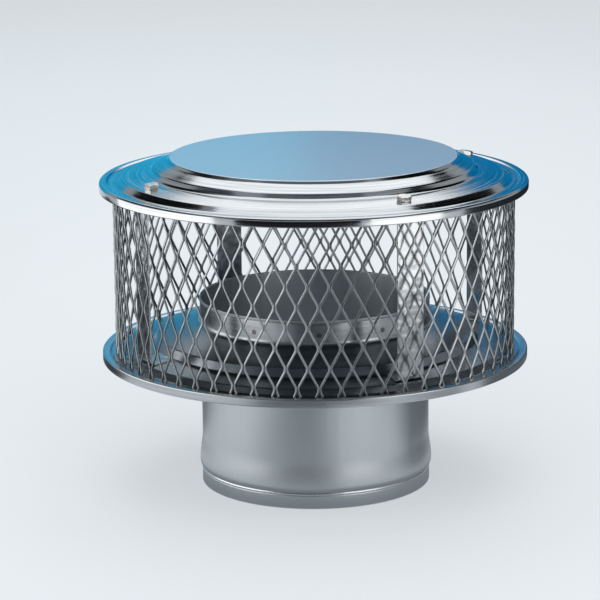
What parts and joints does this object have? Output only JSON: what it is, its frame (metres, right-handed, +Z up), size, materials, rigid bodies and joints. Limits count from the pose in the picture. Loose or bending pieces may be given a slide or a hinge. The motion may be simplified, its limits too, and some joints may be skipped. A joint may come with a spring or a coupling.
{
  "type": "chimney cap",
  "caption": "Round stainless chimney cap: a stepped lid over a screened opening and base plate, on a collar that slips over the flue pipe to keep out rain, birds and sparks.",
  "frame": {"origin": "centre of the collar's lower edge, on the surface that the cap stands on", "axes": "+Z up along the flue's axis, -Y towards the viewer of the picture"},
  "size_m": [0.3816, 0.3816, 0.2965],
  "materials": {
    "spun_stainless": "polished, spun",
    "rolled_stainless": "satin, mill rolled",
    "expanded_metal": "mill finish, sheared and stretched",
    "strip_stainless": "bright rolled strip",
    "bolt_steel": "bright, cold formed"
  },
  "bodies": {
    "root": {"lid": "spun_stainless", "base_plate": "spun_stainless", "collar": "rolled_stainless", "screen": "expanded_metal", "strap_1": "strip_stainless", "strap_2": "strip_stainless", "strap_3": "strip_stainless", "strap_4": "strip_stainless", "lid_bolt_1": "bolt_steel", "lid_bolt_2": "bolt_steel", "lid_bolt_3": "bolt_steel", "lid_bolt_4": "bolt_steel", "lock_washer_1": "bolt_steel", "lock_washer_2": "bolt_steel", "lock_washer_3": "bolt_steel", "lock_washer_4": "bolt_steel", "lid_nut_1": "bolt_steel", "lid_nut_2": "bolt_steel", "lid_nut_3": "bolt_steel", "lid_nut_4": "bolt_steel"}
  },
  "joints": []
}
